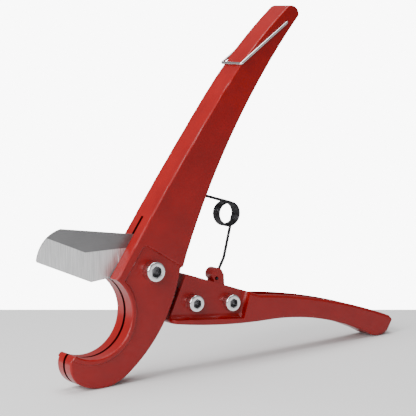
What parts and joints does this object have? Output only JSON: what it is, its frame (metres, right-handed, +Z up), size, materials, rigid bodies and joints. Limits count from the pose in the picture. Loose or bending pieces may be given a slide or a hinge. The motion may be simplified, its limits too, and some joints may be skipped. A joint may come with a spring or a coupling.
{
  "type": "plastic pipe cutter",
  "caption": "Single-stroke hand cutter for plastic pipe: hooked pipe seat, wide blade clamped in a sprung lower handle, and a wire bail that keeps the handles closed.",
  "frame": {"origin": "on the floor, under the middle of the tool's length and width, with the tool standing on its hook and on the end of its lower handle", "axes": "+X from the blade to the grip of the lower handle, +Y across the tool away from the screw heads, +Z up"},
  "size_m": [0.2054, 0.026, 0.1783],
  "materials": {
    "body_paint": "semi-gloss red powder coat",
    "lever_paint": "semi-gloss red powder coat",
    "blade_steel": "satin, ground bevel",
    "screw_zinc": "bright zinc plate",
    "nut_insert": "nylon",
    "spring_black": "black oxide",
    "bail_wire": "bright"
  },
  "bodies": {
    "body": {"upper_body": "body_paint", "pivot_screw": "screw_zinc", "pivot_washer": "screw_zinc", "pivot_locknut": "screw_zinc", "locknut_insert": "nut_insert", "return_spring": "spring_black"},
    "lever": {"lower_handle": "lever_paint", "blade": "blade_steel", "clamp_screw_front": "screw_zinc", "clamp_screw_rear": "screw_zinc", "clamp_washer_front": "screw_zinc", "clamp_washer_rear": "screw_zinc", "clamp_nut_front": "screw_zinc", "clamp_nut_rear": "screw_zinc"},
    "bail": {"keeper_bail": "bail_wire"}
  },
  "joints": [
    {"name": "lever_hinge", "type": "hinge", "parent": "body", "child": "lever", "pos_m": [-0.04435, 0, 0.05406], "axis": [0, -1, 0], "range_deg": [0, 63.2], "stiffness_Nm_per_rad": 0.3, "springref_deg": -34.38, "deforming": ["return_spring"]},
    {"name": "bail_hinge", "type": "hinge", "parent": "body", "child": "bail", "pos_m": [0.04145, 0, 0.17016], "axis": [0, 1, 0], "range_deg": [0, 246]}
  ]
}
